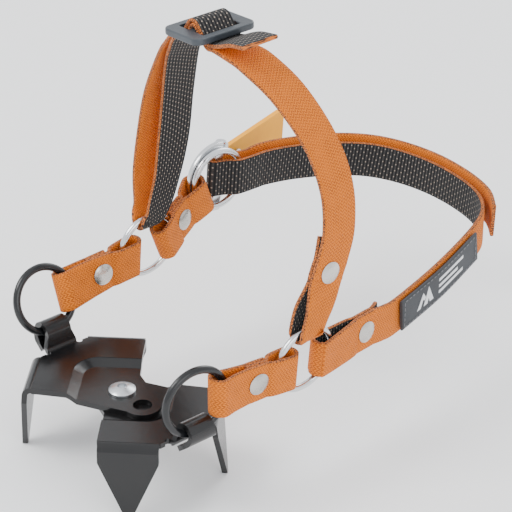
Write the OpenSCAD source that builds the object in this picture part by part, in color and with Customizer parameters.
// Four-point instep crampon with a webbing harness.
// Z is up, Y runs along the foot with the heel at +Y, and X runs across it.
// The origin is on the ground under the clamping screw.

/* [Plates] */
// Thickness of the plate steel
plate_t = 2.5; // [2:0.1:2.8]
// Height of the upper plate's land above the ground
land_height = 37; // [32:1:44]
// Drop from a plate's land to its tongue
joggle = 2.5; // [2:0.1:3]
// Distance from the screw axis to each spike's bend
bend_reach = 39.5; // [38:0.5:43]
// Distance of each spike's middle from the diagonal through the screw
spike_offset = 8; // [6:0.5:9]
// Width of a spike at its bend
spike_w = 27; // [22:0.5:27]
// Angle by which a spike leans outward
spike_splay = 6; // [2:1:10]
// Pitch of the width adjustment holes
hole_pitch = 14.4; // [13.5:0.1:14.6]

/* [Tabs] */
// Width of a tab at its bend
tab_w = 15.8; // [14:0.2:17]
// Width of a tab's rolled hem
hem_w = 12.4; // [10:0.2:13]
// Angle by which a tab leans outward
tab_lean = 11; // [4:1:16]
// Inner radius of the rolled hem
hem_r = 2.9; // [2.8:0.05:3]

/* [Rings] */
// Mean radius of a black ring
black_ring_r = 14.75; // [14.5:0.05:15]
// Wire radius of a black ring
black_wire_r = 1.75; // [1.6:0.05:1.8]
// Mean radius of a silver ring
silver_ring_r = 15; // [14.8:0.1:15.4]
// Mean radius of the ring in the buckle
buckle_ring_r = 14; // [13.8:0.1:14.2]
// Wire radius of the silver rings
silver_wire_r = 1.5; // [1.3:0.05:1.5]

/* [Webbing] */
// Width of the webbing
web_w = 18; // [17:0.5:18]
// Thickness of the webbing
web_t = 1.8; // [1.5:0.05:1.8]
// Width of the instep strap where it gathers in a ring
gather_w = 12; // [11:0.5:12]

/* [Lever] */
// Length of the lever's arm beyond its hub
lever_len = 62; // [50:1:65]
// Angle of the lever's arm away from the strap
lever_open = 18; // [10:1:25]

/* [Hidden] */
$fn = 48;

bend_r = 1.5;           // inner radius of every bend in the plates
relief = 1.6;           // width of the relief cuts beside a tab
recess_edge = 21.2;     // distance from the screw to the step's middle line
recess_corner_r = 9;
step_half = 2.4;        // half the width of the step
stub = 0.4;             // how far the land and the tongue run into the step
rim = 2;                // how far a folded piece runs back into its land
nose_r = 8.2;
hole_r = 4.2;
tip_half_w = 1.1;
shoulder = 4;           // straight stretch of a spike below its bend
tab_rise = 5.6;         // straight stretch of a tab below its hem
flap_start = -40;       // where the hem's roll ends, in degrees
flap_len = 6.2;
hem_drop = 0.7;         // how far a ring's wire sits below the hem's middle

left_ring_lean = 20;
right_ring_yaw = 5;

// Middles of the silver rings, and the axis through both
silver_left = [-55, 57.5, 64];
silver_right = [54, 57.5, 53.5];
silver_tilt = atan2(silver_left.z - silver_right.z, silver_right.x - silver_left.x);
web_below = 2;          // how far a strap's middle lies below the middle of its silver ring

fold_r = 4.2;           // a fold's middle radius round a black ring
silver_fold_r = 3.6;
buckle_fold_r = 5.2;
black_in = 8.7;         // from a black ring's middle to the inside of a fold
silver_in = 6.7;        // from a silver ring's middle to the inside of a fold
hold = 17;              // how far from each end a strap keeps its ring's tilt
layer = web_t + 0.1;    // pitch of stacked webbing layers

rivet_cap_r = 5;
rivet_cap_h = 1.5;
rivet_post_r = 2;
rivet_hole_r = 2.1;

// The bar that the heel strap turns round, and the slope of the strap there
buckle_bar = [-62, 105, 81];
buckle_slope = -5;
frame_t = 2.2;
frame_r_out = 17.5;
frame_r_in = 14;
bar_half = 2.2;
ear_in = 10.2;
ear_t = 2;
pin_r = 1.5;
pin_fit = 0.05;
hinge_x = -7.6;
hinge_y = 8;
hub_r = 4;
lever_t = 2.6;
buckle_ring_shift = [2.8, -1.5, 0];

slider_at = [-13, 62, 184];
slider_tilt = 3;

// Where the middle of the whole part's box lies, seen from above
box_mid = [-16.07, 86.69];

module placed() {
    translate([-box_mid.x, -box_mid.y, 0]) children();
}

// ---- Vectors and curves ----

function unit(v) = v / norm(v);
function mix(a, b, t) = a + (b - a) * t;
function diag(u, v) = [(u - v) / sqrt(2), (u + v) / sqrt(2)];
function turn_x(v, a) = [v.x, v.y * cos(a) - v.z * sin(a), v.y * sin(a) + v.z * cos(a)];

// One point of a smooth curve between p1 and p2
function curve_point(p0, p1, p2, p3, t) =
    0.5 * (2 * p1 + (p2 - p0) * t + (2 * p0 - 5 * p1 + 4 * p2 - p3) * t * t
        + (3 * p1 - p0 - 3 * p2 + p3) * t * t * t);

// A smooth curve through the points p, with k pieces between neighbours
function smooth(p, k) = let (last = len(p) - 1)
    [for (i = [0:last - 1], j = [0:k - 1])
        curve_point(p[max(i - 1, 0)], p[i], p[i + 1], p[min(i + 2, last)], j / k), p[last]];

// Points of an arc about [middle, 0] in a strap's own plane
function fold(middle, r, from, to, k = 6) =
    [for (i = [0:k]) let (a = mix(from, to, i / k)) [middle + r * cos(a), r * sin(a)]];

// A station of a strap: middle point, width direction and width
function station(p, w, width = web_w) = [p.x, p.y, p.z, w.x, w.y, w.z, width];
function at(s) = [s[0], s[1], s[2]];
function across(s) = [s[3], s[4], s[5]];

// ---- Webbing ----

// A flat ribbon swept along stations
module ribbon(stations, t = web_t) {
    last = len(stations) - 1;
    points = [for (i = [0:last])
        let (s = stations[i],
            along = unit(at(stations[min(i + 1, last)]) - at(stations[max(i - 1, 0)])),
            w0 = across(s),
            w = unit(w0 - (w0 * along) * along) * s[6] / 2,
            n = unit(cross(along, w)) * t / 2)
        for (c = [-w - n, w - n, w + n, -w + n]) at(s) + c];
    sides = [for (i = [0:last - 1], k = [0:3])
        let (a = 4 * i + k, b = 4 * i + (k + 1) % 4, c = b + 4, d = a + 4)
        for (f = [[a, d, c], [a, c, b]]) f];
    ends = [[0, 1, 2], [0, 2, 3], [4 * last + 2, 4 * last + 1, 4 * last],
        [4 * last + 3, 4 * last + 2, 4 * last]];
    polyhedron(points, concat(sides, ends), convexity = 10);
}

// Stations for a path [along, out] laid from one point towards another
function laid(path, from, to, w_from, w_to, out) =
    let (length = norm(to - from), along = unit(to - from))
    [for (p = path)
        let (w = unit(mix(w_from, w_to, min(max((p[0] - hold) / (length - 2 * hold), 0), 1))),
            n0 = unit(cross(along, w)),
            n = n0 * out < 0 ? -n0 : n0)
        station(from + along * p[0] + n * p[1], w)];

// A closed loop of webbing between two rings, riveted through three layers
function double_loop(length, front_r, rear_r, front_in, rear_in, front_edge, rivet, rise = 8.8) =
    let (front = front_in + front_r - web_t / 2, rear = length - rear_in - rear_r + web_t / 2,
        flat = [-5.4, -2.5, 2.5, 5.4])
    smooth(concat(
        [for (d = flat) [rivet + d, 0]], [[rivet + rise, -2.8]],
        fold(rear, rear_r, -90, 90),
        [[rivet + rise, 3]], [for (d = flat) [rivet - d, layer]], [[front_edge, 2.9]],
        fold(front, front_r, 90, 270),
        [[front_edge, -2.9]], [for (d = flat) [rivet + d, -layer]]), 2);

// A hole for a rivet, along its own Z
module rivet_hole() {
    cylinder(r = rivet_hole_r, h = 12, center = true);
}

// A domed cap standing on its own flat face, of radius r and height h, with a rim of height e
module dome(r, h, e) {
    ball = (r * r + (h - e) * (h - e)) / (2 * (h - e));
    rotate_extrude() polygon(concat([[0, 0], [r, 0]],
        [for (i = [0:5]) let (x = r * (1 - i / 5)) [x, sqrt(ball * ball - x * x) - ball + h]]));
}

// The cap and post of a rivet through a stack of the given height
module rivet(stack) {
    color("silver") {
        translate([0, 0, stack / 2]) dome(rivet_cap_r, rivet_cap_h, 0.3);
        translate([0, 0, -stack / 2 - 0.6]) cylinder(r = rivet_post_r, h = stack + 0.7);
    }
}

// The cap on a rivet's other side, with a socket for its post
module rivet_back(stack) {
    color("silver") translate([0, 0, -stack / 2]) rotate([180, 0, 0]) difference() {
        dome(rivet_cap_r, rivet_cap_h, 0.3);
        translate([0, 0, -1]) cylinder(r = rivet_post_r + 0.02, h = 1.62);
    }
}

// ---- Plates ----

// Outline of a plate, with its tab at -X and its tongue towards +X
module plate_outline() {
    half = spike_w / 2;
    reach = bend_reach - 0.3;
    nose_top = diag(6, 14);
    polygon([diag(-reach, spike_offset - half), diag(-reach, spike_offset + half),
        diag(-spike_offset - half, reach), diag(half - spike_offset, reach), nose_top,
        [hole_pitch, nose_r], [hole_pitch, -nose_r], diag(-22, -7.5)]);
    translate([hole_pitch, 0]) circle(r = nose_r);
}

// The lowered area of a plate, grown by g
module recess_area(g) {
    middle = recess_edge - recess_corner_r;
    rotate(45) {
        translate([-recess_edge - g, -80]) square([120, 80 + middle]);
        translate([-middle, -80]) square([120, 80 + recess_edge + g]);
        translate([-middle, middle]) circle(r = recess_corner_r + g);
    }
}

// Section through the step, whose ends run into the land and the tongue
module step_section() {
    slope = joggle / (2 * step_half);
    root = step_half + 0.6;
    lip = step_half - stub / 2;
    translate([recess_corner_r, 0]) polygon([[-root, -joggle - 0.6 * slope],
        [lip, -stub / 2 * slope], [root, -0.5], [root, 0.6 * slope - plate_t],
        [-lip, stub / 2 * slope - joggle - plate_t], [-root, 0.5 - joggle - plate_t]]);
}

module step_band() {
    middle = recess_edge - recess_corner_r;
    rotate([0, 0, 45]) translate([-middle, middle, 0]) {
        rotate([0, 0, 90]) rotate_extrude(angle = 90) step_section();
        mirror([1, 0, 0]) rotate([90, 0, 0]) linear_extrude(80) step_section();
        rotate([0, 0, 90]) rotate([90, 0, 0]) linear_extrude(80) step_section();
    }
}

// Points of an arc about a middle in a section's plane
function arc(middle, r, from, to, k) =
    [for (i = [0:k]) let (a = mix(from, to, i / k)) middle + r * [cos(a), sin(a)]];

// Section through a land's rim and a spike folded down from a bend at the origin
function spike_section(drop) =
    let (middle = [0, -plate_t - bend_r], out = [cos(spike_splay), sin(spike_splay)],
        down = [sin(spike_splay), -cos(spike_splay)])
    concat([[-rim, -0.6]], arc(middle, bend_r + plate_t, 90, spike_splay, 8),
        [middle + (bend_r + plate_t) * out + drop * down, middle + bend_r * out + drop * down],
        arc(middle, bend_r, spike_splay, 90, 5), [[-rim, 0.6 - plate_t]]);

module spike(land) {
    width = spike_w - 1;
    top = -plate_t - bend_r - shoulder;
    intersection() {
        rotate([90, 0, 0]) linear_extrude(width, center = true) polygon(spike_section(land + 4));
        rotate([90, 0, 90]) linear_extrude(80, center = true) polygon([[-width, 5], [width, 5],
            [width, top], [width / 2, top], [tip_half_w, -land], [-tip_half_w, -land],
            [-width / 2, top], [-width, top]]);
    }
}

// Turns a point of an upright tab about its bend to the tab's real lean
function leaning(p) = [p.x * cos(tab_lean) + p.y * sin(tab_lean),
    bend_r - p.x * sin(tab_lean) + p.y * cos(tab_lean)];

// Section through a land's rim, a tab folded up from a bend at the origin and its rolled hem
function tab_section() =
    let (face = bend_r + plate_t, hem = [face + hem_r, tab_rise],
        down = [sin(flap_start), -cos(flap_start)] * flap_len)
    concat([[-rim, 0.6 - plate_t]],
        [for (p = concat(arc([0, 0], face, tab_lean - 90, 0, 7),
            arc(hem, hem_r, 180, flap_start, 20),
            [hem + hem_r * [cos(flap_start), sin(flap_start)] + down,
                hem + (hem_r + plate_t) * [cos(flap_start), sin(flap_start)] + down],
            arc(hem, hem_r + plate_t, flap_start, 180, 24),
            arc([0, 0], bend_r, 0, tab_lean - 90, 5))) leaning(p)],
        [[-rim, -0.6]]);

module tab() {
    intersection() {
        rotate([90, 0, 0]) linear_extrude(tab_w, center = true) polygon(tab_section());
        rotate([90, 0, 90]) linear_extrude(60, center = true) polygon([[-tab_w, -5], [tab_w, -5],
            [tab_w, 1], [tab_w / 2, 1], [hem_w / 2, 6], [hem_w / 2, 30], [-hem_w / 2, 30],
            [-hem_w / 2, 6], [-tab_w / 2, 1], [-tab_w, 1]]);
    }
}

// Middle of a hem's bore, from a tab's bend
hem_mid_x = (bend_r + plate_t + hem_r) * cos(tab_lean) + tab_rise * sin(tab_lean);
hem_mid_z = bend_r + tab_rise * cos(tab_lean) - (bend_r + plate_t + hem_r) * sin(tab_lean);

// A whole plate with its land's top at the given height
module plate(land) {
    half = spike_w / 2;
    tab_x = (bend_reach + spike_offset + half) / sqrt(2);
    translate([0, 0, land]) difference() {
        union() {
            translate([0, 0, -plate_t]) linear_extrude(plate_t) difference() {
                plate_outline();
                recess_area(step_half - stub);
            }
            translate([0, 0, -plate_t - joggle]) linear_extrude(plate_t) intersection() {
                plate_outline();
                recess_area(stub - step_half);
            }
            intersection() {
                translate([0, 0, -10]) linear_extrude(12) plate_outline();
                step_band();
            }
            rotate([0, 0, 225]) translate([bend_reach, -spike_offset, 0]) spike(land);
            rotate([0, 0, 135]) translate([bend_reach, spike_offset, 0]) spike(land);
            translate([-tab_x, 0, 0]) rotate([0, 0, 180]) tab();
        }
        for (x = [0, hole_pitch])
            translate([x, 0, -9]) cylinder(r = hole_r, h = 12);
        for (side = [-1, 1])
            translate([-tab_x, side * (tab_w + relief) / 2, -20]) cylinder(r = relief / 2 + 0.6, h = 21);
    }
}

tab_bend_x = (bend_reach + spike_offset + spike_w / 2) / sqrt(2);
lower_land = land_height - plate_t;

module left_plate() {
    color([0.07, 0.06, 0.06]) placed() plate(land_height);
}

module right_plate() {
    color([0.07, 0.06, 0.06]) placed() rotate([0, 0, 180]) plate(lower_land);
}

tongue_top = land_height - joggle;
stack_bottom = lower_land - joggle - plate_t;

module clamp_screw() {
    head_r = 6;
    head_h = 3;
    color([0.75, 0.75, 0.76]) placed() translate([0, 0, tongue_top]) difference() {
        union() {
            dome(head_r, head_h, 1.2);
            translate([0, 0, -11]) cylinder(r = 3, h = 11.1);
        }
        translate([0, 0, 1]) cylinder(r = 2.3, h = 5, $fn = 6);
    }
}

module collar_nut() {
    flange_r = 8;
    flange_t = 1.6;
    hex_r = 6.3;
    color([0.62, 0.62, 0.6]) placed() translate([0, 0, stack_bottom]) difference() {
        union() {
            cylinder(r = hole_r - 0.1, h = 2 * plate_t - 0.2);
            translate([0, 0, -flange_t]) cylinder(r = flange_r, h = flange_t);
            translate([0, 0, -5]) cylinder(r = hex_r, h = 5, $fn = 6);
        }
        translate([0, 0, -10]) cylinder(r = 3.05, h = 30);
    }
}

// ---- Rings ----

module ring(r, wire_r) {
    rotate_extrude($fn = 96) translate([r, 0]) circle(r = wire_r, $fn = 32);
}

left_up = [-sin(left_ring_lean), 0, cos(left_ring_lean)];
left_hem = [-tab_bend_x - hem_mid_x, 0, land_height + hem_mid_z];
right_hem = [tab_bend_x + hem_mid_x, 0, lower_land + hem_mid_z];
black_left = left_hem + left_up * (black_ring_r - hem_drop);
black_right = right_hem + [0, 0, black_ring_r - hem_drop];
right_front_from = black_right + [13 * sin(right_ring_yaw), 0, 0];

module left_hem_ring() {
    color([0.09, 0.1, 0.11]) placed() translate(black_left) rotate([0, -left_ring_lean, 0])
        rotate([0, 90, 0]) ring(black_ring_r, black_wire_r);
}

module right_hem_ring() {
    color([0.09, 0.1, 0.11]) placed() translate(black_right) rotate([0, 0, -right_ring_yaw])
        rotate([0, 90, 0]) ring(black_ring_r, black_wire_r);
}

module silver_ring(place, wire_r = silver_wire_r) {
    color([0.8, 0.81, 0.82]) translate(place) rotate([0, silver_tilt, 0]) rotate([0, 90, 0])
        ring(silver_ring_r, wire_r);
}

module left_silver_ring() {
    placed() silver_ring(silver_left);
}

module right_silver_ring() {
    placed() silver_ring(silver_right);
}

// ---- Front straps ----

left_front_to = silver_left - [0, 0, web_below];
right_front_to = silver_right - [0, 0, web_below];
left_front_from = black_left - left_up * 0.8 - [0.8, 0, 0];
left_lean_dir = left_up;
silver_up = [sin(silver_tilt), 0, cos(silver_tilt)];
front_rivet_along = 30.5;

module left_front_strap() {
    path = double_loop(norm(left_front_to - left_front_from), fold_r, silver_fold_r,
        black_in, silver_in, 17.5, front_rivet_along);
    color([0.85, 0.4, 0.12]) placed() difference() {
        ribbon(laid(path, left_front_from, left_front_to, left_lean_dir, silver_up, [1, 0, 0]));
        on_left_front() rivet_hole();
    }
}

module right_front_strap() {
    path = double_loop(norm(right_front_to - right_front_from), fold_r, silver_fold_r,
        black_in, silver_in, 17.5, front_rivet_along);
    color([0.85, 0.4, 0.12]) placed() difference() {
        ribbon(laid(path, right_front_from, right_front_to, [0, 0, 1], silver_up, [1, 0, 0]));
        on_right_front() rivet_hole();
    }
}

// Places a child whose Z points out of a strap, a way along the line between two points
module on_strap(from, to, w_from, w_to, way, out) {
    along = unit(to - from);
    w = unit(mix(w_from, w_to, min(max((way - hold) / (norm(to - from) - 2 * hold), 0), 1)));
    n0 = unit(cross(along, w));
    n = n0 * out < 0 ? -n0 : n0;
    translate(from + along * way) rotate([0, acos(n.z), atan2(n.y, n.x)]) children();
}

module on_left_front() {
    on_strap(left_front_from, left_front_to, left_lean_dir, silver_up, front_rivet_along, [1, 0, 0])
        children();
}

module on_right_front() {
    on_strap(right_front_from, right_front_to, [0, 0, 1], silver_up, front_rivet_along, [1, 0, 0])
        children();
}

three_layers = 2 * layer + web_t + 0.04;
two_layers = layer + web_t + 0.04;

module left_front_rivet() {
    placed() on_left_front() rivet(three_layers + 0.6);
}

module left_front_rivet_back() {
    placed() on_left_front() rivet_back(three_layers + 0.6);
}

module right_front_rivet() {
    placed() on_right_front() rivet(three_layers + 0.2);
}

module right_front_rivet_back() {
    placed() on_right_front() rivet_back(three_layers + 0.2);
}

// ---- Left rear strap, between the left silver ring and the buckle ----

rear_from = silver_left + [4.7, 0, -2.6];
rear_to = buckle_bar - [2.6, 0, 0];
rear_dir = unit(rear_to - rear_from);
rear_w0 = turn_x(silver_up, atan2(rear_dir.z, rear_dir.y));
rear_rivet_along = 23.2;
rear_in = 10.4;         // from the buckle's bar to the inside of the strap's fold

module left_rear_strap() {
    path = double_loop(norm(rear_to - rear_from), silver_fold_r, buckle_fold_r,
        6, rear_in, 16.6, rear_rivet_along, 7.8);
    color([0.85, 0.4, 0.12]) placed() difference() {
        ribbon(laid(path, rear_from, rear_to, rear_w0, rear_w0, [1, 0, 0]));
        on_left_rear() rivet_hole();
        silver_ring(silver_left, silver_wire_r + 0.15);
        at_buckle() translate(buckle_ring_shift) rotate([0, 90, 0])
            ring(buckle_ring_r, silver_wire_r + 0.15);
    }
}

module on_left_rear() {
    on_strap(rear_from, rear_to, rear_w0, rear_w0, rear_rivet_along, [1, 0, 0]) children();
}

module left_rear_rivet() {
    placed() on_left_rear() rivet(three_layers);
}

module left_rear_rivet_back() {
    placed() on_left_rear() rivet_back(three_layers);
}

// ---- Instep strap ----

// Folds round the tops of the silver rings, at a set distance above their middles
fold_up = 11.75;
right_fold = silver_right + silver_up * fold_up;
left_fold = silver_left + silver_up * fold_up - [0, 1, 0];

// A fold in the X-Z plane that hangs under a ring's wire, from one side to the other
function hanging_fold(middle, r, from, to, width, k = 6) =
    [for (i = [0:k]) let (a = mix(from, to, i / k))
        station(middle + [r * cos(a), 0, r * sin(a) + r - web_t / 2], [0, 1, 0], width)];

instep_rivet_at = [54, 70, 92];
instep_up = [0, 0.37, 0.93];
instep_lean = [0, 0.93, -0.37];

// Stations over the rivet, at a set depth behind the strap's outer face
function over_rivet(depth, ways) =
    [for (d = ways) station(instep_rivet_at + [depth, 0, 0] + d * instep_up, instep_lean)];

// Middle line of the strap, from its riveted end over the slider to its free tail
instep_line = concat(
    [station([51.3, 75.5, 105], instep_lean)], over_rivet(-layer / 2, [6, 2, -2, -6]),
    [station([51, 61.5, 77], [0, 1, -0.1], 13.5)],
    hanging_fold(right_fold, silver_fold_r, 180, 360, gather_w),
    [station([58.2, 61.5, 77], [0, 1, -0.1], 13.5)], over_rivet(layer / 2, [-6, -2, 2, 6]),
    [station([54.3, 76, 110], [0, 0.98, -0.15]), station([51, 77.3, 128], [0, 1, -0.05]),
        station([43, 75, 147], [0, 1, 0]), station([29, 70, 165], [0, 1, 0.1]),
        station([14, 65.5, 175.3], [0, 1, 0.1]), station([5, 63, 178.4], [0, 1, 0])],
    slider_pass([[12, -4.9], [8, -4.8], [4.3, -1], [1.2, 2.9]]),
    [station([-28, 62.8, 176], [0, 1, 0]), station([-33, 65, 170], [0, 1, 0]),
        station([-40, 68, 160], [0, 1, 0]), station([-50, 73, 137], [0, 1, 0]),
        station([-54.5, 73.5, 113], [0, 1, 0]), station([-53.5, 68, 94], [0, 1, 0], 14),
        station([-50.3, 60, 82.5], [0, 1, 0], 11)],
    hanging_fold(left_fold, silver_fold_r, 0, -180, 10),
    [station([-60, 60, 83], [0, 1, 0], 11), station([-63.5, 64.5, 97], [0, 1, 0], 15),
        station([-62.5, 68, 116], [0, 1, 0]), station([-56, 68, 140], [0, 1, 0]),
        station([-43, 66, 163], [0, 1, 0]), station([-35, 64.5, 172.4], [0, 1, 0]),
        station([-28.5, 62.8, 178.2], [0, 1, 0])],
    reverse(slider_pass([[12, -3], [8.2, -2.9], [5.2, 1], [2, 4.9]])),
    [station([5, 61.6, 184], [0, 1, 0.05]), station([12, 61, 186.8], [0, 1, 0.05]),
        station([22, 60, 189], [0, 1, 0.05])]);

// The strap under the slider's outer bars and over its middle bar, from +X to -X
function slider_pass(half) = concat([for (p = half) station(on_slider(p), [0, 1, 0])],
    [for (p = reverse(half)) station(on_slider([-p[0], p[1]]), [0, 1, 0])]);
function reverse(list) = [for (i = [len(list) - 1:-1:0]) list[i]];
function on_slider(p) = slider_at + [p[0] * cos(slider_tilt) - p[1] * sin(slider_tilt), 0,
    p[0] * sin(slider_tilt) + p[1] * cos(slider_tilt)];

module instep_strap() {
    color([0.85, 0.4, 0.12]) placed() difference() {
        ribbon(smooth(instep_line, 3));
        on_instep() rivet_hole();
    }
}

module on_instep() {
    translate(instep_rivet_at) rotate([0, 90, 0]) children();
}

module instep_rivet() {
    placed() on_instep() rivet(two_layers + 0.24);
}

module instep_rivet_back() {
    placed() on_instep() rivet_back(two_layers + 0.24);
}

module strap_slider() {
    length = 24;
    width = 33;
    wall = 3.6;
    slot_from = 1.3;
    color([0.2, 0.22, 0.24]) placed() translate(slider_at) rotate([0, -slider_tilt, 0]) difference() {
        linear_extrude(3, center = true) difference() {
            union() {
                square([length, width - 8], center = true);
                square([length - 8, width], center = true);
                for (x = [-1, 1], y = [-1, 1])
                    translate([x * (length / 2 - 4), y * (width / 2 - 4)]) circle(r = 4);
            }
            for (x = [-1, 1])
                translate([x * (slot_from + length / 2 - wall) / 2, 0])
                    square([length / 2 - wall - slot_from, web_w + 2], center = true);
        }
    }
}

// ---- Buckle ----

module at_buckle() {
    translate(buckle_bar) rotate([buckle_slope, 0, 0]) children();
}

module buckle_ring() {
    color([0.8, 0.81, 0.82]) placed() at_buckle() translate(buckle_ring_shift) rotate([0, 90, 0])
        ring(buckle_ring_r, silver_wire_r);
}

// The frame's flat outline, in the plane of the strap
module frame_outline() {
    difference() {
        intersection() {
            circle(r = frame_r_out);
            translate([-40 + bar_half, -20]) square([40, 40]);
        }
        intersection() {
            circle(r = frame_r_in);
            translate([-40 - bar_half, -20]) square([40, 40]);
        }
    }
}

module buckle_frame() {
    color([0.6, 0.6, 0.6]) placed() at_buckle() difference() {
        union() {
            rotate([90, 0, 90]) linear_extrude(frame_t, center = true) frame_outline();
            for (side = [-1, 1])
                translate([0, 0, side * (ear_in + ear_t / 2)]) linear_extrude(ear_t, center = true)
                    hull() {
                        translate([-frame_t / 2, -bar_half]) square([frame_t, 2 * bar_half]);
                        translate([hinge_x, hinge_y]) circle(r = 3.6, $fn = 32);
                    }
        }
        translate([hinge_x, hinge_y, -20]) cylinder(r = pin_r + pin_fit, h = 40);
    }
}

module lever_pin() {
    head = 1.2;
    grip = ear_in + ear_t + 0.1;
    color([0.7, 0.7, 0.7]) placed() at_buckle() translate([hinge_x, hinge_y, 0]) {
        cylinder(r = pin_r, h = 2 * grip, center = true);
        for (side = [-1, 1])
            translate([0, 0, side * (grip + head / 2)]) cylinder(r = 2.5, h = head, center = true);
    }
}

module at_lever() {
    at_buckle() translate([hinge_x, hinge_y, 0]) rotate([0, 0, lever_open]) children();
}

lever_face = 1.4;       // from the hinge's axis to the arm's inner face

module buckle_lever() {
    root = 6.5;
    tip = 10.5;
    round_r = 4;
    color([1, 0.72, 0]) placed() at_lever() difference() {
        union() {
            cylinder(r = hub_r, h = 2 * ear_in - 0.6, center = true);
            translate([-lever_face - lever_t, 0, 0]) rotate([90, 0, 90]) linear_extrude(lever_t) hull() {
                translate([-1, -root]) square([2, 2 * root]);
                for (side = [-1, 1])
                    translate([lever_len - round_r, side * (tip - round_r)]) circle(r = round_r, $fn = 32);
            }
        }
        cylinder(r = pin_r + pin_fit, h = 40, center = true);
        translate([-lever_face - lever_t - 1, 17, 0]) rotate([0, 90, 0]) cylinder(r = 1.6, h = lever_t + 2);
    }
}

module lever_rivet() {
    head = 1.1;
    color([0.8, 0.8, 0.8]) placed() at_lever()
        translate([-lever_face - lever_t / 2, 17, 0]) rotate([0, 90, 0]) {
        cylinder(r = 1.6, h = lever_t + 0.2, center = true);
        for (side = [-1, 1])
            translate([0, 0, side * (lever_t / 2 + head / 2)]) cylinder(r = 3.6, h = head, center = true);
    }
}

// ---- Heel strap ----

heel_from = right_front_to + [0.8, 0, 0];
heel_rivet_at = [51.2, 95, 51.6];
heel_rivet_along = norm(heel_rivet_at - heel_from);
heel_fold_path = let (middle = silver_in + silver_fold_r - web_t / 2, r = heel_rivet_along)
    concat([[r + 11, -2.8], [r + 6, -layer / 2], [r + 3, -layer / 2], [r - 3, -layer / 2],
            [r - 6, -layer / 2], [r - 11, -2]],
        fold(middle, silver_fold_r, 270, 90),
        [[r - 11, 2], [r - 6, layer / 2], [r - 3, layer / 2], [r + 3, layer / 2],
            [r + 6, layer / 2]]);

function in_buckle(x, y) = buckle_bar + turn_x([x, y, 0], buckle_slope);
buckle_up = turn_x([0, 0, 1], buckle_slope);

// The strap from the label round the heel to the buckle
heel_label_line = [station([49.4, 117, 50.4], [0, 0, 1]), station([42, 150, 53], [0, 0, 1]),
    station([34, 180, 57.5], [0, 0, 1])];
heel_line = concat(
    laid(heel_fold_path, heel_from, heel_rivet_at, silver_up, [0, 0, 1], [1, 0, 0]),
    [station([51, 107, 50.8], [0, 0, 1])], heel_label_line,
    [station([28, 193, 60], [0, 0, 1]), station([18, 200.5, 62], [0, 0, 1]),
        station([4, 203, 64], [0, 0, 1]), station([-14, 202, 66], [0, 0, 1]),
        station([-31, 196.5, 68], [0, 0, 1]), station([-43.5, 186, 70.5], [0, 0, 1]),
        station([-52, 170, 73], [0, 0, 1]), station([-57, 150, 75.8], buckle_up),
        station([-57.6, 133, 78.3], buckle_up)],
    [for (p = [[5.4, 20], [6.1, 12.5], [6, 8], [3.4, 3], [2.3, -1]]) station(in_buckle(p[0], p[1]), buckle_up)],
    [for (a = [-30:-30:-150]) station(in_buckle(2.3 * cos(a), -2 + 2.3 * sin(a)), buckle_up)],
    [for (p = [[-2.3, -1], [-2.3, 4], [-2.3, 12], [-1.6, 20]]) station(in_buckle(p[0], p[1]), buckle_up)],
    [station([-62.6, 134, 80.4], buckle_up), station([-61, 151, 78.4], buckle_up),
        station([-55.6, 172.4, 75.8], [0, 0, 1]), station([-46.3, 189.2, 73.2], [0, 0, 1]),
        station([-32.6, 200.2, 70.8], [0, 0, 1]), station([-14.4, 206, 68.8], [0, 0, 1]),
        station([5, 207, 66.6], [0, 0, 1]), station([20.6, 204.3, 64.4], [0, 0, 1]),
        station([31, 197.5, 62.6], [0, 0, 1])]);

module heel_strap() {
    color([0.85, 0.4, 0.12]) placed() difference() {
        ribbon(smooth(heel_line, 2));
        on_heel() rivet_hole();
    }
}

module on_heel() {
    along = unit(heel_rivet_at - heel_from);
    n = unit(cross(along, [0, 0, 1]));
    translate(heel_rivet_at) rotate([0, acos(n.z), atan2(n.y, n.x)]) children();
}

module heel_rivet() {
    placed() on_heel() rivet(two_layers);
}

module heel_rivet_back() {
    placed() on_heel() rivet_back(two_layers);
}

module heel_label() {
    label_t = 1.3;
    label_w = 15.4;
    gap = (web_t + label_t) / 2 + layer / 2 + 0.1;
    line = smooth([for (s = heel_label_line) s], 5);
    last = len(line) - 1;
    outward = [for (i = [0:last])
        let (along = unit(at(line[min(i + 1, last)]) - at(line[max(i - 1, 0)])),
            n = unit(cross(along, [0, 0, 1])))
        station(at(line[i]) + n * gap, [0, 0, 1], label_w)];
    color([0.22, 0.23, 0.25]) placed() ribbon(outward, label_t);
}

left_plate();
right_plate();
clamp_screw();
collar_nut();
left_hem_ring();
right_hem_ring();
left_front_strap();
right_front_strap();
left_front_rivet();
left_front_rivet_back();
right_front_rivet();
right_front_rivet_back();
left_silver_ring();
right_silver_ring();
instep_strap();
instep_rivet();
instep_rivet_back();
strap_slider();
left_rear_strap();
left_rear_rivet();
left_rear_rivet_back();
buckle_ring();
buckle_frame();
lever_pin();
buckle_lever();
lever_rivet();
heel_strap();
heel_rivet();
heel_rivet_back();
heel_label();
